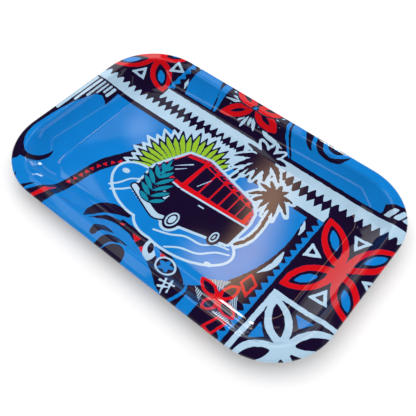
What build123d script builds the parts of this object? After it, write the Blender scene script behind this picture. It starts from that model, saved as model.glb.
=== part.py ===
"""A promotional serving tray: one pressed tinplate sheet with sloping walls, a rounded shoulder, a lip and
a curled safe edge, and the printed enamel coat that covers its whole upper side.

The frame: millimetres, +Z up, +X along the tray, origin on the table under the tray's middle.
"""

import os
from math import atan2, cos, degrees, radians, sin

from build123d import *

# Overall sizes, over the enamel
length = 290.0
width = 190.0
height = 16.0
corner_radius = 51.0

# The two layers
steel_thickness = 0.35
enamel_thickness = 0.15

# The section, from the flat floor outwards; each radius is on the steel's upper face
border_width = 37.0  # crease of the floor to the tray's outer edge
crease_radius = 9.0
crease_angle = 12.0  # the wall's slope where it leaves the floor
shoulder_radius = 3.5
shoulder_inset = 9.0  # middle of the shoulder to the outer edge
lip_angle = 10.0  # how far the lip falls towards the outside
curl_radius = 1.7
curl_turn = 250.0  # the sheet turns down, under and in, and ends inside the lip's shadow

# Places that follow from them, seen in the section at the middle of a short side
crease_start = Vector(length / 2 - border_width, steel_thickness)
shoulder_centre = Vector(length / 2 - shoulder_inset, height - enamel_thickness - shoulder_radius)


def along(angle):
    """The unit vector at that angle above +X, in degrees."""
    return Vector(cos(radians(angle)), sin(radians(angle)))


# The wall is the one arc that leaves the crease at its angle and touches the shoulder's circle from outside
wall_start = crease_start + Vector(0, crease_radius) - along(crease_angle + 90) * crease_radius
to_shoulder = wall_start - shoulder_centre
wall_radius = (to_shoulder.dot(to_shoulder) - shoulder_radius**2) / (
    2 * (shoulder_radius - along(crease_angle + 90).dot(to_shoulder))
)
wall_centre = wall_start + along(crease_angle + 90) * wall_radius
wall_top_angle = degrees(atan2(shoulder_centre.X - wall_centre.X, wall_centre.Y - shoulder_centre.Y))

# The lip is the straight that touches the shoulder and the curl from above
curl_centre_inset = curl_radius + enamel_thickness
radius_step = shoulder_radius - curl_radius
lip_length = (shoulder_inset - curl_centre_inset - radius_step * sin(radians(lip_angle))) / cos(
    radians(lip_angle)
)


def section_line(raised):
    """Draws the sheet's line from the floor's crease to the curled edge, raised off the steel's upper face.

    A face above the steel has smaller radii where the sheet is hollow and larger ones where it is crowned.
    """
    start = crease_start + Vector(0, raised)
    crease = JernArc(start, (1, 0), crease_radius - raised, crease_angle)
    wall = JernArc(crease @ 1, crease % 1, wall_radius - raised, wall_top_angle - crease_angle)
    shoulder = JernArc(wall @ 1, wall % 1, shoulder_radius + raised, -(wall_top_angle + lip_angle))
    lip = Line(shoulder @ 1, shoulder @ 1 + (shoulder % 1) * lip_length)
    curl = JernArc(lip @ 1, lip % 1, curl_radius + raised, -curl_turn)
    return crease @ 0, curl @ 1


def pressed_layer(low, high):
    """One layer of the tray between two heights off the steel's upper face: its border, then its floor."""
    with BuildPart() as layer:
        with BuildLine() as quarter_edge:
            long_way = Line((length / 2, 0), (length / 2, width / 2 - corner_radius))
            corner = JernArc(long_way @ 1, (0, 1), corner_radius, 90)
            Line(corner @ 1, (0, width / 2))
        with BuildSketch(Plane.XZ):
            with BuildLine():
                low_ends = section_line(low)
                high_ends = section_line(high)
                Line(low_ends[0], high_ends[0])
                Line(low_ends[1], high_ends[1])
            make_face()
        sweep(path=quarter_edge.wire())
        mirror(about=Plane.XZ)
        mirror(about=Plane.YZ)
        with BuildSketch(Plane.XY.offset(steel_thickness + low)):
            RectangleRounded(
                length - 2 * border_width, width - 2 * border_width, corner_radius - border_width
            )
        extrude(amount=high - low)
    return layer


pressed_steel_tray = pressed_layer(-steel_thickness, 0)
pressed_steel_tray.part.label = "pressed_steel_tray"

printed_enamel_coat = pressed_layer(0, enamel_thickness)
printed_enamel_coat.part.label = "printed_enamel_coat"

os.makedirs("parts", exist_ok=True)
for piece in (pressed_steel_tray, printed_enamel_coat):
    export_step(piece.part, f"parts/{piece.part.label}.step")
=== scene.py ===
import math

import bpy
import numpy as np
from mathutils import Matrix, Vector


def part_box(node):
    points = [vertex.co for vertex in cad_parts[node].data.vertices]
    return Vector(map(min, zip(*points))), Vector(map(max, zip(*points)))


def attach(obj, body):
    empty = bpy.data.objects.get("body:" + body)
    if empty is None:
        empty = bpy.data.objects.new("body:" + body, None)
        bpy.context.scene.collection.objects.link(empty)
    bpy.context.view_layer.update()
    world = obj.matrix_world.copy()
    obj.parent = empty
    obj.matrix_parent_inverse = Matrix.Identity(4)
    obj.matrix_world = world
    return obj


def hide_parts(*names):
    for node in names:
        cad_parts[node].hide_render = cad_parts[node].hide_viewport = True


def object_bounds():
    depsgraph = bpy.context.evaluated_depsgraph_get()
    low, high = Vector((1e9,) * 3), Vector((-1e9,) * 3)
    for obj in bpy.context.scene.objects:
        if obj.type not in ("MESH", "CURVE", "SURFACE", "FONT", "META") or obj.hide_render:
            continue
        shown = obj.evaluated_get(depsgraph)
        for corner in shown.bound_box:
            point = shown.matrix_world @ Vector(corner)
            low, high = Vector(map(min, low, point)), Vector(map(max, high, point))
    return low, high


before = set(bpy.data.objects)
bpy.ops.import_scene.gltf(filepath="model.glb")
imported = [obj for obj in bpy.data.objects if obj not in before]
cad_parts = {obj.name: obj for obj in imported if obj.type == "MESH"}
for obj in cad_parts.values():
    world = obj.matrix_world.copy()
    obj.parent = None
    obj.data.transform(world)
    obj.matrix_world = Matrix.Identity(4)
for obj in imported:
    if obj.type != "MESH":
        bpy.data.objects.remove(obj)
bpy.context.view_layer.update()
print("frame loaded")

mm = 0.001                   # the frame is in metres, and the sizes below are in mm

# The printed sheet has the section of the CAD's sheet, drawn finer and carried round the same outline.
traySizes = {                 # mm and degrees, as in the pressed sheet under the print
    "borderWidth": 37.0,      # crease of the floor to the outer edge
    "cornerRadius": 51.0,
    "creaseRadius": 9.0,
    "creaseAngle": 12.0,      # the wall's slope where it leaves the floor
    "shoulderRadius": 3.5,
    "shoulderInset": 9.0,
    "lipAngle": 10.0,         # how far the lip falls outwards
    "curlRadius": 1.7,
    "curlTurn": 250.0,
}
meshSteps = {                 # quads along each stretch
    "longSide": 192,
    "shortSide": 90,
    "halfCorner": 26,
    "face": (4, 33, 8, 6, 12),       # crease, wall, shoulder, lip, curl
    "back": (1, 6, 3, 1, 8),
}


def sectionLine(raised, steps):
    # The sheet's section as straight and round runs joined end to end: along a run the heading turns evenly,
    # so a place is its start plus radius times (sin heading, -cos heading) less the same at the start.
    # Gives the distance in from the outer edge and the height, in mm, for a face raised off the steel.
    s = traySizes
    low, high = (np.array(corner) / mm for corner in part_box("printed_enamel_coat"))
    coat = high[0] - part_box("pressed_steel_tray")[1][0] / mm
    creaseTurn, lipTurn = math.radians(s["creaseAngle"]), math.radians(s["lipAngle"])
    wallStart = np.array([s["creaseRadius"] * math.sin(creaseTurn) - s["borderWidth"],
                          low[2] + s["creaseRadius"] * (1 - math.cos(creaseTurn))])
    shoulder = np.array([-s["shoulderInset"], high[2] - coat - s["shoulderRadius"]])
    # the wall is the one arc that leaves the crease at its slope and touches the shoulder's circle
    gap, up = wallStart - shoulder, np.array([-math.sin(creaseTurn), math.cos(creaseTurn)])
    wallRadius = (gap @ gap - s["shoulderRadius"] ** 2) / (2 * (s["shoulderRadius"] - up @ gap))
    wallCentre = wallStart + wallRadius * up
    wallTurn = math.atan2(shoulder[0] - wallCentre[0], wallCentre[1] - shoulder[1])
    lipLength = ((s["shoulderInset"] - s["curlRadius"] - coat)
                 - (s["shoulderRadius"] - s["curlRadius"]) * math.sin(lipTurn)) / math.cos(lipTurn)
    runs = [(s["creaseRadius"] - raised, creaseTurn), (wallRadius - raised, wallTurn - creaseTurn),
            (s["shoulderRadius"] + raised, -(wallTurn + lipTurn)), (lipLength, 0),
            (s["curlRadius"] + raised, -math.radians(s["curlTurn"]))]
    places = [np.array([[-s["borderWidth"], low[2] + raised]])]
    heading = 0.0
    for (size, turn), count in zip(runs, steps):
        part = np.linspace(0, 1, count + 1)[1:]
        if turn:
            radius = math.copysign(size, turn)
            now = heading + turn * part
            step = radius * np.stack([np.sin(now) - math.sin(heading), math.cos(heading) - np.cos(now)], 1)
        else:
            step = size * part[:, None] * np.array([math.cos(heading), math.sin(heading)])
        places.append(places[-1][-1] + step)
        heading += turn
    line = np.concatenate(places)
    return -line[:, 0], line[:, 1]


def edgePath():
    # Once round the rounded rectangle from the middle of its lower left corner. Each place on the path is a
    # point of the inner rectangle through the corner centres, and the direction outwards from it.
    half = np.array(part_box("printed_enamel_coat")[1][:2]) / mm
    inner = half - traySizes["cornerRadius"]
    centres, turns = [], []
    for side, count in enumerate((meshSteps["longSide"], meshSteps["shortSide"]) * 2):
        facing = math.radians(90 * side - 90)
        start = inner * [(-1, -1), (1, -1), (1, 1), (-1, 1)][side]
        end = inner * [(1, -1), (1, 1), (-1, 1), (-1, -1)][side]
        bend = np.arange(meshSteps["halfCorner"]) / meshSteps["halfCorner"] * math.pi / 4
        along = np.arange(count)[:, None] / count
        centres += [np.tile(start, (len(bend), 1)), start + (end - start) * along,
                    np.tile(end, (len(bend), 1))]
        turns += [facing - math.pi / 4 + bend, np.full(count, facing), facing + bend]
    turn = np.concatenate(turns)
    return np.concatenate(centres), np.stack([np.cos(turn), np.sin(turn)], 1)


def carriedFace(raised, steps):
    # The section carried round the edge path: centre + outwards x (corner radius - distance in), at its
    # height. Also gives each place with the section rolled out flat, where nothing overlaps.
    centre, outwards = edgePath()
    inset, height = sectionLine(raised, steps)
    reach = traySizes["cornerRadius"] - inset
    plan = centre[None] + outwards[None] * reach[:, None, None]
    rolled = reach[0] + np.append(0, np.cumsum(np.hypot(np.diff(inset), np.diff(height))))
    flat = centre[None] + outwards[None] * rolled[:, None, None]
    level = np.broadcast_to(height[:, None, None], plan.shape[:2] + (1,))
    return np.concatenate([plan, level], 2), flat


def gridQuads(index):
    # the four corners of every cell of a grid of vertex numbers, counterclockwise where rows go up
    return np.stack([index[:-1, :-1], index[:-1, 1:], index[1:, 1:], index[1:, :-1]], -1).reshape(-1, 4)


def makePrintedSheet():
    # The face is a ring grid on the border and a grid on the floor that shares the ring's first row; the back
    # is a coarser ring grid and one flat face. The floor's place is the short side's x times how far along
    # the long side it is, and the long side's y times how far up the short side it is.
    face, faceFlat = carriedFace(coatThickness, meshSteps["face"])
    back, backFlat = carriedFace(0.0, meshSteps["back"])
    rows, around = face.shape[:2]
    longCount = meshSteps["longSide"] + 2 * meshSteps["halfCorner"]
    shortCount = meshSteps["shortSide"] + 2 * meshSteps["halfCorner"]
    edge = np.arange(around)
    south, east = edge[:longCount + 1], edge[longCount:longCount + shortCount + 1]
    north = edge[longCount + shortCount:2 * longCount + shortCount + 1][::-1]
    west = np.append(edge[2 * longCount + shortCount:], 0)[::-1]
    crease = face[0, :, :2]
    alongShare = crease[south, 0] / crease[0, 0]
    upShare = crease[west, 1] / crease[0, 1]
    floorX = crease[west, 0][:, None] * alongShare[None]
    floorY = crease[south, 1][None] * upShare[:, None]
    floor = np.stack([floorX, floorY, np.full_like(floorX, face[0, 0, 2])], -1)
    index = np.zeros(floor.shape[:2], int)
    index[0], index[:, -1], index[-1], index[:, 0] = south, east, north, west
    inside = floor[1:-1, 1:-1].reshape(-1, 3)
    index[1:-1, 1:-1] = rows * around + np.arange(len(inside)).reshape(index[1:-1, 1:-1].shape)
    ring = np.arange(rows * around).reshape(rows, around)
    ring = np.concatenate([ring, ring[:, :1]], 1)
    backStart = rows * around + len(inside)
    backRing = backStart + np.arange(back.shape[0] * around).reshape(-1, around)
    backRing = np.concatenate([backRing, backRing[:, :1]], 1)
    rim = gridQuads(np.stack([ring[-1], backRing[-1]]))[:, ::-1]
    quads = np.concatenate([rim, gridQuads(index), gridQuads(ring)[:, ::-1], gridQuads(backRing)])
    places = np.concatenate([face.reshape(-1, 3), inside, back.reshape(-1, 3)])
    mesh = bpy.data.meshes.new("printedSheet")
    mesh.from_pydata(places * mm, [], quads.tolist() + [backRing[0, :-1][::-1].tolist()])
    mesh.shade_smooth()
    flatPlaces = np.concatenate([faceFlat.reshape(-1, 2), inside[:, :2], backFlat.reshape(-1, 2)])
    rimShare = 0.2               # of one row of the face
    addFlatMap(mesh, flatPlaces, backStart, faceFlat[-1] + (faceFlat[-1] - faceFlat[-2]) * rimShare)
    piece = bpy.data.objects.new("printedSheet", mesh)
    bpy.context.scene.collection.objects.link(piece)
    return piece, places


def addFlatMap(mesh, flatPlaces, backStart, beyondRim):
    # The face rolled out flat fills most of a square map: share = place over the face's size, plus a half.
    # The hidden back is squeezed into a strip above it, and the rim lies just beyond the face's last row.
    margin, faceTop, backLow, backHeight = 1.0, 0.9, 0.92, 0.07      # mm, and shares of the square
    size = 2 * (flatPlaces[:backStart].max(0) + margin)
    share = flatPlaces / size + 0.5
    beyondShare = beyondRim / size + 0.5
    share[:backStart, 1] *= faceTop
    share[backStart:, 1] = backLow + backHeight * share[backStart:, 1]
    corners = np.empty(len(mesh.loops), int)
    mesh.loops.foreach_get("vertex_index", corners)
    mapped = share[corners]
    rim = np.flatnonzero(corners[:4 * len(beyondRim)] >= backStart)
    mapped[rim] = beyondShare[(corners[rim] - backStart) % len(beyondRim)] * (1, faceTop)
    mesh.uv_layers.new(name="OFBake").data.foreach_set("uv", mapped.astype(np.float32).ravel())


coatThickness = (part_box("printed_enamel_coat")[1][0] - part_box("pressed_steel_tray")[1][0]) / mm
printedSheet, sheetPlaces = makePrintedSheet()
print("printed sheet", len(printedSheet.data.polygons), "faces")

# The artwork. Every shape is a signed distance in mm over the tray seen from above, below zero inside, worked
# out for all the sheet's vertices at once. Painting a shape adds it to one ink and takes it away from the
# others, so the last one painted lies on top. The material turns each ink's distance into a sharp edge.

inkNames = ("navy", "pale", "red", "green", "teal", "hatched")
printing = {
    "eye": (176.0, -231.0, 385.0),   # mm, the place from which the print's lines run straight over the walls
    "level": 12.9,                   # mm, the height at which the print lies as drawn
    "lean": 0.75,                    # how much of that shift the sheet's depth gives the print
    "wobble": 0.35,                  # mm, how ragged the outlines are
    "reach": 3.0,                    # mm, the largest distance that the sheet keeps
}
# The print is laid on the sheet as a shadow is: a place moves away from the eye, level with the table, by its
# distance from the eye times (level - height) / (eye - height).
eyeX, eyeY, eyeZ = printing["eye"]
shift = printing["lean"] * (sheetPlaces[:, 2] - printing["level"]) / (eyeZ - sheetPlaces[:, 2])
across = sheetPlaces[:, 0] + (sheetPlaces[:, 0] - eyeX) * shift
upwards = sheetPlaces[:, 1] + (sheetPlaces[:, 1] - eyeY) * shift
farAway = 50.0               # mm, the distance where nothing is painted yet
inks = {name: np.full(len(sheetPlaces), farAway) for name in inkNames}


def cloudNoise(cell, seed):
    # Random numbers on a square lattice, blended between lattice points by the smooth step 3t^2 - 2t^3.
    lattice = 400
    values = np.random.default_rng(seed).uniform(-1, 1, (lattice, lattice))
    gx, gy = across / cell + lattice / 2, upwards / cell + lattice / 2
    ix, iy = np.floor(gx).astype(int), np.floor(gy).astype(int)
    tx, ty = gx - ix, gy - iy
    tx, ty = tx * tx * (3 - 2 * tx), ty * ty * (3 - 2 * ty)
    low = values[iy, ix] * (1 - tx) + values[iy, ix + 1] * tx
    high = values[iy + 1, ix] * (1 - tx) + values[iy + 1, ix + 1] * tx
    return low * (1 - ty) + high * ty


cutEdge = 0.7 * cloudNoise(2.6, 3) + 0.3 * cloudNoise(1.3, 4)      # the wobble of a hand-cut block


def paint(ink, distance, ragged=printing["wobble"]):
    # ink None paints the blue ground
    distance = distance + ragged * cutEdge
    for name in inkNames:
        if name == ink:
            inks[name] = np.minimum(inks[name], distance)
        else:
            inks[name] = np.maximum(inks[name], -distance)


def disc(x, y, radius):
    return np.hypot(across - x, upwards - y) - radius


def oval(x, y, halfWide, halfHigh, turn=0.0):
    # scaled radius k of the place, times k - 1, over the length of its gradient: exact on the outline
    c, s = math.cos(math.radians(turn)), math.sin(math.radians(turn))
    dx, dy = across - x, upwards - y
    u, v = (dx * c + dy * s) / halfWide, (dy * c - dx * s) / halfHigh
    k = np.hypot(u, v) + 1e-6
    return k * (k - 1) / (np.hypot(u / halfWide, v / halfHigh) + 1e-6)


def slab(x0, x1, y0, y1, rounded=0.0):
    # beyond a corner the distance to it, and elsewhere the distance to the nearest side
    dx = np.abs(across - (x0 + x1) / 2) - (x1 - x0) / 2 + rounded
    dy = np.abs(upwards - (y0 + y1) / 2) - (y1 - y0) / 2 + rounded
    return np.hypot(np.maximum(dx, 0), np.maximum(dy, 0)) + np.minimum(np.maximum(dx, dy), 0) - rounded


def patch(*corners, rounded=0.0):
    # the nearest of the outline's edges; a place is inside if a line from it crosses an odd number of them
    near = np.full(len(across), 1e9)
    inside = np.zeros(len(across), bool)
    for (ax, ay), (bx, by) in zip(corners, corners[1:] + corners[:1]):
        ex, ey, px, py = bx - ax, by - ay, across - ax, upwards - ay
        t = np.clip((px * ex + py * ey) / (ex * ex + ey * ey), 0, 1)
        near = np.minimum(near, np.hypot(px - t * ex, py - t * ey))
        crosses = (ay > upwards) != (by > upwards)
        inside ^= crosses & (across < ax + (upwards - ay) * ex / (ey if ey else 1e-9))
    return np.where(inside, -near, near) - rounded


def stroke(points, widths):
    # a brush line: a smooth curve through the points whose half width runs from one given value to the next
    line = smoothLine(points)
    half = np.interp(np.linspace(0, 1, len(line)), np.linspace(0, 1, len(widths)), widths)
    near = np.full(len(across), 1e9)
    for a, b, wa, wb in zip(line[:-1], line[1:], half[:-1], half[1:]):
        e, px, py = b - a, across - a[0], upwards - a[1]
        t = np.clip((px * e[0] + py * e[1]) / (e @ e), 0, 1)
        near = np.minimum(near, np.hypot(px - t * e[0], py - t * e[1]) - (wa + (wb - wa) * t))
    return near


def smoothLine(points, pieces=5):
    # Catmull-Rom: each span is a cubic whose end slopes are half the step between the neighbours
    p = np.array(points, float)
    if len(p) < 3:
        return p
    p = np.concatenate([[2 * p[0] - p[1]], p, [2 * p[-1] - p[-2]]])
    t = (np.arange(pieces) / pieces)[:, None]
    spans = []
    for a, b, c, d in zip(p[:-3], p[1:-2], p[2:-1], p[3:]):
        bend, twist = 2 * a - 5 * b + 4 * c - d, 3 * b - a - 3 * c + d
        spans.append(0.5 * (2 * b + (c - a) * t + bend * t ** 2 + twist * t ** 3))
    return np.concatenate(spans + [p[-2:-1]])


def petal(start, tip, halfWide):
    # where two equal discs overlap: both tips are on both circles
    ax, ay = start
    bx, by = tip
    long = math.hypot(bx - ax, by - ay)
    c, s = (bx - ax) / long, (by - ay) / long
    dx, dy = across - (ax + bx) / 2, upwards - (ay + by) / 2
    u, v = dx * c + dy * s, np.abs(dy * c - dx * s)
    radius = (long * long / 4 + halfWide * halfWide) / (2 * halfWide)
    return np.hypot(u, v + radius - halfWide) - radius


def part(start, tip, share):
    return start[0] + (tip[0] - start[0]) * share, start[1] + (tip[1] - start[1]) * share


def teeth(x0, pitch, valley, crest):
    # a line that zigzags between two heights; the distance is taken square to its slope
    wave = np.abs(((across - x0) / pitch) % 1 - 0.5) * 2
    return (valley + (crest - valley) * wave - upwards) * math.cos(math.atan(2 * (crest - valley) / pitch))


def sideTeeth(y0, pitch, base, point):
    # the same, for a line that runs up the tray with its teeth pointing left
    wave = np.abs(((upwards - y0) / pitch) % 1 - 0.5) * 2
    return (base + (point - base) * wave - across) * math.cos(math.atan(2 * (base - point) / pitch))


def both(*shapes):
    # where the shapes overlap
    return np.maximum.reduce(shapes)


def triangleCorners(x, y, size, turn):
    ways = [math.radians(turn + corner) for corner in (90, 210, 330)]
    return [(x + size * math.cos(way), y + size * math.sin(way)) for way in ways]


def hollowTriangle(x, y, size, turn, thick=2.4):
    corners = triangleCorners(x, y, size, turn)
    paint("pale", patch(*corners))
    paint("navy", patch(*corners) + thick)


def paintTopPanels():
    paint("navy", patch((-92, 110), (12, 110), (14, 90), (20, 79), (33.5, 64), (33.5, 60), (-92, 60)))
    paint(None, patch((-81, 110), (-59, 110), (-57, 92), (-52, 81), (-46, 63.8), (-75, 63.8), (-80, 74),
                      (-82, 86)))
    paint(None, patch((-54.5, 110), (-48, 110), (-46.5, 84), (-42.3, 63.8), (-44.4, 63.8), (-47.5, 73),
                      (-53, 85)))
    paint("navy", stroke([(17, 104), (18.5, 90), (24.5, 79), (37, 63)], [1.2, 1, 1, 0.6]))
    paint("navy", stroke([(32, 100), (36, 91), (40, 84), (46, 79.5)], [3.4, 3.0, 1.8, 0.2]))
    paint("navy", stroke([(44, 101), (46, 91), (51, 84.5), (60, 82), (68, 85), (73.5, 94)],
                         [3, 3, 2.4, 1.8, 2.6, 0.3]))
    paint("navy", stroke([(52, 101), (55, 93.5), (60, 91), (65, 93.5), (67, 101)], [1.6, 2.0, 2.2, 2.0, 1.4]))
    paint("pale", oval(59.5, 97.5, 4.6, 3.4))
    paint("pale", stroke([(-84, 100), (-83, 94)], [1.6, 0.5]))
    paint("pale", stroke([(-83.5, 79), (-81.5, 73), (-79, 67.5)], [0.3, 1.5, 0.3]))
    # loose leaf under the flower
    paint("pale", stroke([(-1, 76), (6, 71), (15, 69.5), (25, 67.5)], [0.6, 2.0, 2.2, 0.3]))


def paintTopFlower(x=-17.0, y=88.0):
    for turn in range(128, 440, 13):
        c, s = math.cos(math.radians(turn)), math.sin(math.radians(turn))
        reach = 24 if turn % 2 else 20
        paint("pale", petal((x + 9 * c, y + 9 * s), (x + reach * c * 1.2, y + reach * s), 1.5))
    for tip in ((-39.5, 67), (12, 77), (-42, 100), (9, 101)):
        paint("navy", petal((x, y), tip, 7.2) - 1.2)
        paint("red", petal((x, y), tip, 7.0))
        paint("navy", petal(part((x, y), tip, 0.28), part((x, y), tip, 0.7), 2.0))
    paint("navy", disc(x, y, 3.2))
    paint(None, slab(x - 1.6, x + 1.6, y - 1.6, y + 1.6))


def paintBand():
    # a navy band between two pale strips that bite into it from both sides
    paint("navy", slab(-160, 160, 25.5, 64))
    paint("pale", both(teeth(-88.6, 7.0, 52.5, 45.3), slab(-90, 160, 40, 60)))
    paint("pale", both(-teeth(-86.2, 6.9, 37.0, 44.2), slab(-160, 90, 30, 60)))
    paint("navy", slab(-160, 90.5, 25.5, 29.8))
    paint(None, slab(-118, 78, 10, 25.5), ragged=0.1)


def paintSky():
    paint("navy", slab(40, 95, -120, 29.8))
    paint(None, oval(-5, -2, 85, 95))
    paint("pale", stroke([(78.5, 22), (81, 15.5), (82.3, 8)], [0.3, 1.8, 0.5]))
    paint("pale", stroke([(82, -9), (83.2, -19), (81.8, -28), (77.5, -37)], [0.3, 2.2, 1.9, 0.2]))


def paintSawColumn():
    paint("navy", slab(90, 160, -120, 45))
    paint(None, both(sideTeeth(28.5, 7.0, 89.0, 84.6), slab(82, 90.6, -120, 29.4)))


def outlinedPetals(centre, tips, halfWide, rim, outer, middle, inner):
    for tip in tips:
        paint(outer, petal(centre, tip, halfWide))
    for tip in tips:
        paint(middle, petal(part(centre, tip, 0.2), part(centre, tip, 0.86), halfWide - rim))
        if inner != middle:
            paint(inner, petal(part(centre, tip, 0.36), part(centre, tip, 0.76), halfWide - rim - 2.1))


def paintCornerFlower():
    paint("navy", slab(-160, -92, 43, 110))
    paint(None, both(sideTeeth(60.0, 7.0, -89.2, -92.2), slab(-100, -90, 60, 110)) - 0.2)
    paint(None, both(-sideTeeth(63.5, 7.0, -89.5, -85.6), slab(-91.5, -80, 62, 110)))
    outlinedPetals((-121, 82), [(-91.5, 53.5), (-150, 49), (-100, 106), (-152, 100)], 9.5, 4.4,
                   "red", "navy", None)
    paint("red", disc(-121, 82, 4.5))
    hollowTriangle(-121, 57.5, 8.6, 0)
    hollowTriangle(-99.5, 82, 8.6, -90)


def paintRightFlower():
    outlinedPetals((122, 2), [(91.8, 37), (94.3, -33.5), (150, 41), (150, -32)], 9.8, 4.5,
                   "red", "navy", None)
    paint("red", disc(122, 2, 4.6))
    hollowTriangle(121, 31, 8.6, 180)
    hollowTriangle(123, -25, 8.6, 0)
    hollowTriangle(98, 3, 8.2, -90)
    hollowTriangle(146, 3, 8.6, 90)


def paintLowerRightFlower():
    paint("pale", slab(94.4, 98.2, -120, -38.6))
    paint("pale", slab(94.4, 160, -42.4, -38.6))
    paint("pale", disc(124, -73, 6))
    outlinedPetals((124, -73), [(98.5, -42.8), (152, -43), (101, -101), (143, -102)], 9.4, 5.0,
                   "pale", "navy", "navy")
    paint(None, patch((117, -45.5), (131, -45.5), (124.5, -54)))
    paint(None, patch((102, -65), (102, -81), (110, -73)))


def paintRedFlower():
    centre = (70, -71)
    for corners in (((55, -62.5), (68.5, -54), (66, -66.5)), ((76.5, -57), (85.5, -70.5), (77, -69)),
                    ((51, -73), (61.5, -82), (60, -74.5)), ((72.5, -82), (91, -82), (79.5, -76.5))):
        paint("hatched", patch(*corners))
    outlinedPetals(centre, [(75.5, -53), (50, -64.5), (66, -84.5), (88, -76.5)], 5.0, 2.3,
                   "red", "navy", "navy")
    paint("red", disc(*centre, 2.4))
    for corners in (((75, -39), (84.2, -44.5), (83.2, -58), (73, -50.5)),
                    ((78.5, -81.5), (87, -82), (83, -96), (74, -94.5))):
        paint("red", patch(*corners))
        paint("navy", patch(*corners) + 1.9)


def paintLeftWave():
    paint("navy", patch((-160, 29.8), (-118, 29.8), (-116.8, 9), (-120.5, 12), (-126, 14.6), (-131, 11.5),
                        (-134, 3), (-137.5, -7), (-140, -20), (-141.5, -34), (-142, -50), (-160, -50)))
    for x, half, low in ((-143.4, 1.5, -21), (-138.9, 1.2, -5), (-134.6, 1.1, 5), (-131, 0.9, 13),
                         (-127.3, 1.1, 17.5), (-123, 1.5, 16)):
        paint("pale", slab(x - half, x + half, low, 28.2, half * 0.8), ragged=0.25)
    paint("navy", stroke([(-144, -44), (-141.5, -57), (-134, -68.5), (-124, -72), (-115, -67.5),
                          (-111.6, -60), (-112.3, -52)],
                         [1.6, 2.0, 3.4, 2.6, 2.6, 1.8, 0.2]))
    paint("navy", patch((-142, -62), (-127, -72), (-126, -78), (-130, -84), (-141, -74)))
    paint("navy", stroke([(-97, -86), (-101, -92), (-103, -98)], [0.3, 1.6, 2.5]))
    paint("navy", stroke([(-116, -87), (-114, -92), (-115, -98)], [0.3, 1.0, 1.6]))


def paintVine():
    paint("navy", stroke([(-60, -2), (-65, -4), (-69, -9.5)], [2.4, 1.8, 0.2]))
    paint("navy", stroke([(-58, -8), (-65, -22), (-73, -36), (-77, -50), (-79, -64), (-81, -77),
                          (-86, -90), (-92, -106)],
                         [5.0, 5.4, 5.2, 4.2, 4.2, 4.6, 7.6, 11]))
    route = smoothLine([(-64.5, -26.5), (-72, -36), (-76.3, -46), (-78.2, -56), (-80.4, -67)], 2)
    for count, (x, y) in enumerate(route):
        turn = 14 + 60 * (count % 2)
        paint("red", patch(*triangleCorners(x, y, 2.5, turn)), ragged=0.2)
    paint("red", patch((-81.5, -77), (-84.2, -85), (-89.5, -99), (-92.5, -99), (-88.5, -84)))


def paintSurf():
    paint("navy", stroke([(-24, -60), (-36, -62.5), (-44, -68), (-47, -75), (-48, -83)], [2, 4.4, 5, 4, 0.2]))
    paint("navy", stroke([(-12, -70), (-26, -69.5), (-36, -73), (-44, -81)], [1.4, 2.2, 2.0, 0.2]))
    paint("navy", stroke([(-20, -79), (-28, -80.5), (-32, -84), (-32, -88)], [0.2, 2.2, 3.6, 2.6]))
    paint("navy", stroke([(-5, -81), (-14, -82.5), (-20.5, -87), (-21.5, -99)], [0.2, 2.4, 3.6, 2.8]))
    paint("navy", oval(-8, -94, 9, 9.5))
    paint("navy", stroke([(-24, -66), (-8, -69), (6, -71), (22, -75), (36, -83), (40, -88)],
                         [1.0, 4, 6.5, 9.5, 10, 7]))
    paint("red", patch((-24.5, -69.5), (-20, -66.6), (-20.5, -69.5)))
    paint("red", patch((-11, -69.5), (-3, -69), (-3.5, -74.5)))
    paint("red", patch((1, -76), (9, -79.6), (4, -71)))
    paint("red", patch((14, -68.5), (22.5, -68), (18, -77)))
    paint("pale", petal((3, -63), (14, -81), 5.2))
    paint("navy", petal((5, -66), (10.5, -75), 2.4))
    paint(None, petal((8, -65), (19, -74), 2.0))
    paint("pale", oval(26, -75, 8.6, 7.4, -20))
    paint("navy", oval(26, -75, 7.0, 5.9, -20))
    for turn in (20, 92, 164, 236, 308):
        c, s = math.cos(math.radians(turn)), math.sin(math.radians(turn))
        paint(None, petal((26, -75), (26 + 6.2 * c, -75 + 5.6 * s), 1.7), ragged=0.2)
    for points in (((31, -86.5), (42, -84)), ((33, -90.5), (40, -87)), ((34, -83), (37.5, -94)),
                   ((38, -81), (41, -91))):
        paint("pale", stroke(points, [0.8, 0.6]))
    paint(None, stroke([(46, -75), (49, -83), (47, -92), (43, -99)], [0.7, 1.3, 1.3, 0.8]))
    paint(None, slab(52, 62.5, -120, -83.5))


def paintTopRightBars():
    paint("navy", patch((117, 60), (119.5, 66), (117.5, 73), (124, 77.5), (160, 84), (160, 60)))
    for x, y in ((121.5, 64), (128.5, 65.5), (135.5, 67)):
        paint("pale", patch((x, y), (x + 3.4, y + 9.5), (x + 7, y + 10.2), (x + 4, y), rounded=0.4))


def paintFanLeaf():
    base = np.array([-19.0, -8.0])
    leaflets = []
    for count, turn in enumerate(np.linspace(58, 205, 18)):
        way = np.array([math.cos(math.radians(turn)), math.sin(math.radians(turn))])
        reach = 51 - 0.075 * abs(turn - 108) - 3 * (count % 2)
        leaflets.append((base + 12 * way, base + reach * way))
    for start, tip in leaflets:
        paint("pale", petal(start, tip, 3.4) - 2.3, ragged=0.15)
    for start, tip in leaflets:
        paint("navy", petal(start, tip, 3.4) - 0.2, ragged=0.2)
        paint("green", petal(start, part(start, tip, 0.9), 2.5), ragged=0.2)


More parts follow.
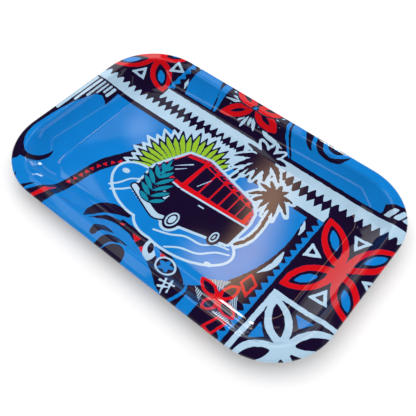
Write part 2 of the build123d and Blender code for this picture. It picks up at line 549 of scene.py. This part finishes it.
palms = [                    # crown, size, trunk's points from the crown down
    {"crown": (21.0, 51.0), "size": 1.0, "trunk": [(21, 50), (16, 38), (13, 25), (12, 8)]},
    {"crown": (48.0, 25.5), "size": 0.8, "trunk": [(48, 25), (54, 10), (57, -6), (56, -20), (50, -31)]},
]
frondShapes = [              # degrees, reach and droop
    (158, 22, 4), (128, 22, 4), (96, 17, 0), (62, 18, 2), (34, 23, 9), (184, 22, 12), (214, 20, 13),
    (4, 22, 14), (-34, 17, 15), (244, 10, 16), (-66, 9, 17)]


def paintPalm(palm):
    cx, cy = palm["crown"]
    t = np.linspace(0, 1, 4)
    fronds = []
    for turn, reach, droop in frondShapes:
        x = cx + palm["size"] * reach * t * math.cos(math.radians(turn))
        y = cy + palm["size"] * (reach * t * math.sin(math.radians(turn)) - droop * t * t)
        fronds.append(stroke(np.stack([x, y], 1), np.array([0.9, 2.5, 2.2, 0.3]) * palm["size"]))
    trunk = stroke(palm["trunk"], [1.7 * palm["size"], 1.3, 1.6])
    paint("pale", np.minimum.reduce(fronds + [trunk]) - 2.2, ragged=0.15)
    paint("navy", np.minimum.reduce(fronds + [trunk, disc(cx, cy, 3.2 * palm["size"])]), ragged=0.9)


def paintPalms():
    for palm in palms:
        paintPalm(palm)


def paintPool():
    pool = np.minimum(oval(-33, -37, 32, 20, -18), oval(21, -46, 38, 19.5, 12))
    pool = np.minimum(pool, oval(-4, -52, 20, 14, 0))
    paint("pale", pool, ragged=0.1)
    paint(None, pool + 2.1, ragged=0.1)
    for points in ([(-56, -48), (-51, -42), (-47, -34), (-41, -29)],
                   [(-52, -51), (-45, -45), (-39, -38), (-34, -36)],
                   [(-2, -57), (10, -52.5), (20, -46.5), (33, -44.5), (41, -38), (51, -35)],
                   [(14, -63), (23, -56.5), (36, -52), (45, -43), (54, -38.5)]):
        paint("pale", stroke(points, [0.75, 0.85, 0.7]), ragged=0.1)
    paint("pale", oval(-55, -30, 3.3, 2.3, 10), ragged=0.1)
    paint("pale", oval(47, -54, 2.9, 1.9, 5), ragged=0.1)


def paintVan():
    # a plain box van of no make, seen from its front corner
    outline = [(-27, 15), (-10, 19), (38, 8), (45, 1), (47, -8), (46, -31), (-11, -47), (-37, -38),
               (-40, -12)]
    wheels = [(3.0, -41.5, 6.6, 9.2), (36.5, -33.5, 5.0, 7.4)]
    body = patch(*outline, rounded=1.5)
    paint("pale", np.minimum(body, oval(*wheels[0])) - 2.2, ragged=0.1)
    paint("red", body, ragged=0.1)
    paint("navy", both(body, patch((-50, -12), (-12, -15.5), (60, -11), (60, -60), (-50, -60))), ragged=0.1)
    paint("navy", both(body + 1.0, -(body + 1.9)), ragged=0.1)
    paint("navy", patch((-36, -7), (-28.5, 10.5), (-13.5, 14), (-15, -10), rounded=1.2), ragged=0.1)
    # the side windows shrink towards the back, and a roof light sits over each
    for x0, x1 in ((-9, 0.5), (3, 10.5), (13, 19.5), (22, 27.8), (30, 35.4), (37.4, 42)):
        sill = [-9.6 + 0.03 * (x + 9) for x in (x0, x1)]
        head = [13 - 0.19 * (x + 9) for x in (x0, x1)]
        paint("navy", patch((x0, sill[0]), (x0, head[0]), (x1, head[1]), (x1, sill[1]), rounded=0.5),
              ragged=0.1)
        paint("navy", patch((x0 + 1, head[0] + 1.9), (x0 + 1.6, head[0] + 3.6), (x1, head[1] + 3.4),
                            (x1 - 0.4, head[1] + 1.8), rounded=0.2), ragged=0.05)
    paint("pale", stroke([(-30.5, -2), (-19, 9)], [0.3, 0.6]), ragged=0.05)
    paint("pale", stroke([(-27, -4), (-20.5, 2.5)], [0.5, 0.3]), ragged=0.05)
    paint("pale", stroke([(-3, -6), (2, 6)], [0.4, 0.4]), ragged=0.05)
    paint("pale", np.minimum(stroke([(-40.5, -12.3), (-12, -15.6)], [0.8, 0.8]),
                             stroke([(-12, -15.6), (47.5, -11.4)], [0.8, 0.8])), ragged=0.05)
    paint("navy", stroke([(-12, -16), (-11.6, -40)], [0.6, 0.6]), ragged=0.05)
    for x, y in ((-37.6, -22.4), (-19.2, -25.4)):
        paint("pale", patch((x, y), (x + 5.4, y - 0.9), (x + 5.2, y - 5.5), (x, y - 4.6), rounded=0.6),
              ragged=0.05)
        paint("hatched", patch((x + 1, y - 0.9), (x + 4.5, y - 1.5), (x + 4.4, y - 4.5), (x + 1, y - 3.8)),
              ragged=0.05)
    for drop in (0, 2.6, 5.2):
        paint("pale", stroke([(-30.4, -24 - drop), (-21.6, -25.5 - drop)], [0.55, 0.55]), ragged=0.05)
    bumper = stroke([(-40, -36.5), (-26, -41.5), (-11, -46.5), (-3.8, -44.5)], [2.0, 2.3, 2.4, 1.6])
    paint("navy", bumper - 1.4, ragged=0.05)
    paint("pale", bumper, ragged=0.05)
    for x, y, wide, high in wheels:
        paint("navy", oval(x, y, wide, high), ragged=0.05)
        paint("pale", oval(x - 0.3, y, wide - 1.9, high - 2.3), ragged=0.05)
        paint("navy", oval(x - 0.3, y, wide - 3.1, high - 3.7), ragged=0.05)
        paint("pale", oval(x - 0.3, y, wide - 4.3, high - 5.3), ragged=0.05)
    paint("pale", stroke([(9.5, -19), (14, -18.7)], [0.6, 0.6]), ragged=0.05)


def paintFern():
    stem = smoothLine([(-19, -45), (-25, -35), (-30, -23), (-33, -6)], 4)
    leaflets = []
    for share in np.linspace(0.14, 0.9, 6):
        x, y = (np.interp(share, np.linspace(0, 1, len(stem)), stem[:, k]) for k in (0, 1))
        reach = 17 * math.sin(math.pi * (0.16 + 0.74 * share))
        for turn in (168 - 40 * share, 40 + 34 * share):
            tip = (x + reach * math.cos(math.radians(turn)), y + reach * math.sin(math.radians(turn)))
            leaflets.append(petal((x, y), tip, 1.75))
    leaflets.append(petal(stem[-4], (-34.5, 2), 1.6))
    leaf = np.minimum.reduce(leaflets)
    paint("navy", leaf - 1.0, ragged=0.1)
    paint("teal", leaf, ragged=0.1)
    paint("navy", stroke(stem[2:-2], [0.4, 0.25]), ragged=0.0)


for paintPart in (paintSky, paintTopPanels, paintTopFlower, paintBand, paintSawColumn, paintCornerFlower,
                  paintTopRightBars, paintRightFlower, paintLowerRightFlower, paintRedFlower, paintLeftWave,
                  paintVine, paintSurf, paintFanLeaf, paintPalms, paintPool, paintVan, paintFern):
    paintPart()
reach = printing["reach"]
for name in inkNames:
    layer = printedSheet.data.attributes.new("ink_" + name, "FLOAT", "POINT")
    layer.data.foreach_set("value", np.clip(inks[name], -reach, reach).astype(np.float32))
print("artwork printed in", len(inkNames), "inks")


def hexColour(code):
    # sRGB hex to the linear colour that the shader takes
    share = [int(code[i:i + 2], 16) / 255 for i in (1, 3, 5)]
    return tuple(c / 12.92 if c <= 0.04045 else ((c + 0.055) / 1.055) ** 2.4 for c in share) + (1.0,)


def addNode(tree, kind, settings=None, **inputs):
    # one node with its settings; an input is a value, a colour or the socket that feeds it, given by the
    # socket's name or, where names repeat, by n and its number
    node = tree.nodes.new(kind)
    for name, value in (settings or {}).items():
        setattr(node, name, value)
    for name, value in inputs.items():
        numbered = name[0] == "n" and name[1:].isdigit()
        socket = node.inputs[int(name[1:]) if numbered else name.replace("_", " ")]
        if isinstance(value, bpy.types.NodeSocket):
            tree.links.new(value, socket)
        else:
            socket.default_value = value
    return node


def newMaterial(name):
    material = bpy.data.materials.new(name)
    material.use_nodes = True
    tree = material.node_tree
    tree.nodes.clear()
    return material, tree


enamel = {
    "ground": "#0c79c8",
    "inks": {"navy": "#150828", "pale": "#abc9df", "red": "#cb0a17", "green": "#8cb729", "teal": "#128199",
             "hatched": "#150828"},
    "edge": 0.16,            # mm over which an ink's edge fades
    "hatchPitch": 1.5,       # mm along the tray between scratched lines, coarser than real so that they show
    "hatchCut": (0.35, 0.6),     # where along a line's wave the scratch starts and is full
    "cloudSize": 18.0,       # mm, the slow changes in the ink's depth
    "cloud": 0.05,           # how much the ink's depth varies
    "roughness": 0.4,
    "gleam": 0.0,            # the ink's own shine, none where varnish wets it
    "varnishIor": 1.52,
    "varnishRoughness": 0.05,
    "rippleSize": 22.0,      # mm, the length of the varnish's slow waves
    "ripple": 0.018,         # mm, their height
    "peelSize": 1.6,         # mm, its fine orange peel
    "peel": 0.0008,          # mm, its height
}


def makeEnamel():
    # Offset-printed enamel under a stoved clear varnish: solid flat inks with sharp, slightly ragged edges,
    # a hard gloss on top, and reflections that waver because the varnish follows the sheet.
    material, tree = newMaterial("offset printed enamel under clear varnish")
    place = addNode(tree, "ShaderNodeTexCoord").outputs["Object"]
    colour = hexColour(enamel["ground"])
    # along an axis the texture's diagonal bands come every 2 pi / (10 x scale)
    lines = addNode(tree, "ShaderNodeTexWave", {"bands_direction": "DIAGONAL"}, Vector=place,
                    Scale=2 * math.pi / (10 * enamel["hatchPitch"] * mm), Distortion=1.5, Detail=1.0)
    for name in inkNames:
        edge = addNode(tree, "ShaderNodeAttribute", {"attribute_name": "ink_" + name}).outputs["Fac"]
        cover = addNode(tree, "ShaderNodeMapRange", {"interpolation_type": "SMOOTHSTEP"}, Value=edge,
                        From_Min=enamel["edge"] / 2, From_Max=-enamel["edge"] / 2).outputs[0]
        ink = hexColour(enamel["inks"][name])
        if name == "hatched":
            scratch = addNode(tree, "ShaderNodeMapRange", None, Value=lines.outputs["Fac"],
                              From_Min=enamel["hatchCut"][0], From_Max=enamel["hatchCut"][1])
            ink = addNode(tree, "ShaderNodeMix", {"data_type": "RGBA"}, n0=scratch.outputs[0], n6=ink,
                          n7=hexColour(enamel["inks"]["pale"])).outputs[2]
        colour = addNode(tree, "ShaderNodeMix", {"data_type": "RGBA"}, n0=cover, n6=colour, n7=ink).outputs[2]
    cloud = addNode(tree, "ShaderNodeTexNoise", None, Vector=place, Scale=1 / (enamel["cloudSize"] * mm),
                    Detail=3.0)
    depth = addNode(tree, "ShaderNodeMapRange", None, Value=cloud.outputs["Fac"], From_Min=0.3, From_Max=0.7,
                    To_Min=1 - enamel["cloud"], To_Max=1 + enamel["cloud"])
    colour = addNode(tree, "ShaderNodeHueSaturation", None, Color=colour, Value=depth.outputs[0]).outputs[0]
    ripple = addNode(tree, "ShaderNodeTexNoise", None, Vector=place, Scale=1 / (enamel["rippleSize"] * mm),
                     Detail=1.0)
    peel = addNode(tree, "ShaderNodeTexNoise", None, Vector=place, Scale=1 / (enamel["peelSize"] * mm),
                   Detail=1.0)
    waves = addNode(tree, "ShaderNodeBump", None, Height=ripple.outputs["Fac"], Strength=1.0,
                    Distance=enamel["ripple"] * mm)
    waves = addNode(tree, "ShaderNodeBump", None, Height=peel.outputs["Fac"], Strength=1.0,
                    Distance=enamel["peel"] * mm, Normal=waves.outputs[0])
    shader = addNode(tree, "ShaderNodeBsdfPrincipled", None, Base_Color=colour, Roughness=enamel["roughness"],
                     Specular_IOR_Level=enamel["gleam"], Coat_Weight=1.0, Coat_IOR=enamel["varnishIor"],
                     Coat_Roughness=enamel["varnishRoughness"], Normal=waves.outputs[0],
                     Coat_Normal=waves.outputs[0])
    addNode(tree, "ShaderNodeOutputMaterial", None, Surface=shader.outputs[0])
    return material


tinplate = {
    "colour": "#c9c7c2",
    "dark": "#aeaca8",
    "lines": 0.7,            # mm across a rolling line, several times a real one so that they show
    "stretch": 0.012,        # how much they are drawn out along the tray
    "lineDepth": 0.006,      # mm
    "mottle": 14.0,          # mm, the size of the tin's faint spots
    "contrast": (0.7, 1.3),  # where lines and spots together give the dark and the light colour
    "roughness": (0.24, 0.38),
    "lacquer": 0.5,
    "lacquerRoughness": 0.12,
}


def makeTinplate():
    # Cold-rolled tinplate under a clear lacquer: a grey-white metal with fine straight rolling lines along
    # the tray, faint tin mottling, and a thin hard gloss.
    material, tree = newMaterial("lacquered tinplate")
    place = addNode(tree, "ShaderNodeTexCoord").outputs["Object"]
    stretched = addNode(tree, "ShaderNodeMapping", None, Vector=place, Scale=(tinplate["stretch"], 1.0, 1.0))
    lines = addNode(tree, "ShaderNodeTexNoise", None, Vector=stretched.outputs[0],
                    Scale=1 / (tinplate["lines"] * mm), Detail=2.0)
    mottle = addNode(tree, "ShaderNodeTexNoise", None, Vector=place, Scale=1 / (tinplate["mottle"] * mm),
                     Detail=2.0)
    mixed = addNode(tree, "ShaderNodeMath", {"operation": "ADD"}, n0=lines.outputs["Fac"],
                    n1=mottle.outputs["Fac"]).outputs[0]
    low, high = tinplate["contrast"]
    smooth, rough = tinplate["roughness"]
    share = addNode(tree, "ShaderNodeMapRange", None, Value=mixed, From_Min=low, From_Max=high)
    colour = addNode(tree, "ShaderNodeMix", {"data_type": "RGBA"}, n0=share.outputs[0],
                     n6=hexColour(tinplate["dark"]), n7=hexColour(tinplate["colour"])).outputs[2]
    roughness = addNode(tree, "ShaderNodeMapRange", None, Value=mixed, From_Min=low, From_Max=high,
                        To_Min=smooth, To_Max=rough)
    bump = addNode(tree, "ShaderNodeBump", None, Height=lines.outputs["Fac"], Strength=1.0,
                   Distance=tinplate["lineDepth"] * mm)
    shader = addNode(tree, "ShaderNodeBsdfPrincipled", None, Base_Color=colour, Metallic=1.0,
                     Roughness=roughness.outputs[0], Coat_Weight=tinplate["lacquer"],
                     Coat_Roughness=tinplate["lacquerRoughness"], Normal=bump.outputs[0])
    addNode(tree, "ShaderNodeOutputMaterial", None, Surface=shader.outputs[0])
    return material


printedSheet.data.materials.append(makeEnamel())
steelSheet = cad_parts["pressed_steel_tray"]
steelSheet.data.materials.clear()
steelSheet.data.materials.append(makeTinplate())
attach(printedSheet, "root")
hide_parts("printed_enamel_coat")
print("materials made")


studio = {
    "floor": "#fbfbfc",
    "floorHalf": 12.0,       # metres
    "floorGap": 0.05,        # mm below the tray
    "footEdge": 1.0,         # mm from the opening's edge to the tray's crease
    "skyLow": 0.25,          # brightness of the room low down
    "skyHigh": 0.03,         # and overhead, where the tray's floor looks
    "skyTurn": 0.5,          # the height, as a share, at which it has become that
    "horizon": 0.7,          # what the horizon adds, where the pale floor ends
    "horizonHeight": 0.09,
    # soft patches of light in the sky: direction, spread along x, y and z, brightness, colour
    "glows": [((-0.256, 0.450, 0.856), (0.060, 0.145, 0.14), 5.8, "#ffcda0"),
              ((-0.280, 0.545, 0.790), (0.062, 0.095, 0.12), 4.4, "#ffcda0"),
              ((-0.304, 0.409, 0.860), (0.060, 0.045, 0.12), 4.0, "#ffd8b4"),
              ((-0.492, 0.469, 0.734), (0.040, 0.040, 0.06), 1.9, "#f3f0ff")],
    # soft boxes that the varnish mirrors: direction, distance in metres, width, height, brightness
    "boxes": {
        "wallBox": ((-0.84, 0.607, 0.42), 1.12, 0.40, 0.70, 1.2),
        "wallTop": ((-0.717, 0.518, 0.80), 1.19, 0.40, 0.13, 0.55),
        "farStrip": ((-0.40, 0.80, 0.435), 1.3, 0.42, 0.12, 0.75),
        "overheadBox": ((-0.48, 0.12, 0.87), 1.3, 0.5, 0.5, 1.1),
        "ceilingStrip": ((-0.36, -0.38, 0.85), 1.3, 0.9, 0.06, 1.6),
        "rightStrip": ((0.27, 0.43, 0.86), 1.3, 0.7, 0.05, 0.7),
        "rightBox": ((0.70, 0.43, 0.56), 1.3, 0.7, 0.12, 0.9),
        "lamp": ((-0.186, 0.905, 0.390), 1.5, 0.09, 0.15, 20.0),
        "lampBelow": ((-0.192, 0.950, 0.250), 1.5, 0.125, 0.04, 7.0),
        "lampGlow": ((-0.200, 0.970, 0.130), 1.5, 0.17, 0.16, 3.0),
    },
    # broad light that only falls on things and is not mirrored
    "fills": {
        "front": ((0.5, -0.8, 0.45), 1.6, 1.3, 0.9, 0.5),
        "side": ((-0.8, -0.5, 0.45), 1.6, 1.3, 0.9, 0.3),
    },
    "dome": ((-0.05, 0.22, 1.0), 155.0, 3.15),     # direction, degrees wide, strength
}


def makeFloor():
    # Seen only from above, and open where the tray's flat bottom rests, so that the underside shows from
    # below. Four quads run from the outer square's corners to the opening's.
    mesh = bpy.data.meshes.new("floor")
    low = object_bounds()[0][2] - studio["floorGap"] * mm
    border = (traySizes["borderWidth"] + studio["footEdge"]) * mm
    foot = [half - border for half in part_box("pressed_steel_tray")[1][:2]]
    corners = [(x * wide, y * deep, low) for wide, deep in ((studio["floorHalf"],) * 2, foot)
               for x, y in ((-1, -1), (1, -1), (1, 1), (-1, 1))]
    mesh.from_pydata(corners, [], [(k, (k + 1) % 4, (k + 1) % 4 + 4, k + 4) for k in range(4)])
    floor = bpy.data.objects.new("floor", mesh)
    bpy.context.scene.collection.objects.link(floor)
    material, tree = newMaterial("pale matt paper")       # soft and even, with no gloss
    paper = addNode(tree, "ShaderNodeBsdfPrincipled", None, Base_Color=hexColour(studio["floor"]),
                    Roughness=0.9)
    clear = addNode(tree, "ShaderNodeBsdfTransparent")
    under = addNode(tree, "ShaderNodeNewGeometry").outputs["Backfacing"]
    shader = addNode(tree, "ShaderNodeMixShader", None, n0=under, n1=paper.outputs[0], n2=clear.outputs[0])
    addNode(tree, "ShaderNodeOutputMaterial", None, Surface=shader.outputs[0])
    mesh.materials.append(material)


def addPanel(name, direction, distance, wide, high, brightness, mirrored=True):
    # a rectangular soft light that faces the tray; its power is brightness x pi x area
    light = bpy.data.lights.new(name, "AREA")
    light.shape, light.size, light.size_y = "RECTANGLE", wide, high
    light.energy = brightness * math.pi * wide * high
    panel = bpy.data.objects.new(name, light)
    bpy.context.scene.collection.objects.link(panel)
    panel.location = Vector(direction).normalized() * distance
    panel.rotation_euler = (-panel.location).to_track_quat("-Z", "Y").to_euler()
    panel.visible_glossy = mirrored


def makeSky():
    # a room that is dim overhead and lighter towards the horizon, with soft patches of light
    world = bpy.data.worlds.new("studio")
    bpy.context.scene.world = world
    world.use_nodes = True
    tree = world.node_tree
    tree.nodes.clear()
    way = addNode(tree, "ShaderNodeTexCoord").outputs["Generated"]
    high = addNode(tree, "ShaderNodeSeparateXYZ", None, Vector=way).outputs["Z"]
    smooth = {"interpolation_type": "SMOOTHSTEP"}
    sky = addNode(tree, "ShaderNodeMapRange", smooth, Value=high, From_Min=0.0, From_Max=studio["skyTurn"],
                  To_Min=studio["skyLow"], To_Max=studio["skyHigh"]).outputs[0]
    rim = addNode(tree, "ShaderNodeMapRange", smooth, Value=high, From_Min=0.0,
                  From_Max=studio["horizonHeight"], To_Min=studio["horizon"], To_Max=0.0).outputs[0]
    sky = addNode(tree, "ShaderNodeMath", {"operation": "ADD"}, n0=sky, n1=rim).outputs[0]
    for direction, spread, brightness, colour in studio["glows"]:
        # brightest in its direction and gone where the offset, over the spread, is as long as 1
        apart = way
        for step, other in (("SUBTRACT", direction), ("DIVIDE", spread)):
            apart = addNode(tree, "ShaderNodeVectorMath", {"operation": step}, n0=apart, n1=other).outputs[0]
        apart = addNode(tree, "ShaderNodeVectorMath", {"operation": "LENGTH"}, n0=apart).outputs["Value"]
        glow = addNode(tree, "ShaderNodeMapRange", {"interpolation_type": "SMOOTHERSTEP"}, Value=apart,
                       From_Min=1.0, From_Max=0.0, To_Max=brightness).outputs[0]
        tint = addNode(tree, "ShaderNodeVectorMath", {"operation": "SCALE"}, n0=hexColour(colour)[:3],
                       Scale=glow).outputs[0]
        sky = addNode(tree, "ShaderNodeVectorMath", {"operation": "ADD"}, n0=sky, n1=tint).outputs[0]
    light = addNode(tree, "ShaderNodeBackground", None, Color=sky)
    addNode(tree, "ShaderNodeOutputWorld", None, Surface=light.outputs[0])


def makeStudio():
    makeSky()
    for name, (direction, distance, wide, high, brightness) in studio["boxes"].items():
        addPanel(name, direction, distance, wide, high, brightness)
    for name, (direction, distance, wide, high, brightness) in studio["fills"].items():
        addPanel(name, direction, distance, wide, high, brightness, mirrored=False)
    direction, wide, strength = studio["dome"]
    light = bpy.data.lights.new("dome", "SUN")
    light.angle, light.energy = math.radians(wide), strength
    dome = bpy.data.objects.new("dome", light)
    bpy.context.scene.collection.objects.link(dome)
    dome.rotation_euler = (-Vector(direction)).to_track_quat("-Z", "Y").to_euler()
    dome.visible_glossy = False
    bpy.context.scene.view_settings.view_transform = "Standard"


seat = {                     # the camera stands in front and to the right, turned a little about its axis
    "lens": 53.03,                        # mm
    "place": (175.9, -231.2, 371.8),      # mm, the height above the widest part of the curl
    "curlDown": 3.1,                      # mm from the tray's top to there
    "right": (0.7725, 0.6341, 0.0349),    # the picture's three directions
    "up": (-0.5322, 0.6165, 0.5802),
    "ahead": (-0.3464, 0.4668, -0.8137),
}


def makeCamera():
    camera = bpy.data.cameras.new("camera")
    camera.lens, camera.sensor_width = seat["lens"], 36.0
    stand = bpy.data.objects.new("camera", camera)
    bpy.context.scene.collection.objects.link(stand)
    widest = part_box("printed_enamel_coat")[1][2] - seat["curlDown"] * mm
    place = Vector(seat["place"]) * mm + Vector((0, 0, widest))
    turned = Matrix((seat["right"], seat["up"], -Vector(seat["ahead"]))).transposed().to_4x4()
    stand.matrix_world = Matrix.Translation(place) @ turned
    bpy.context.scene.camera = stand


makeFloor()
makeStudio()
makeCamera()
print("studio and camera made")
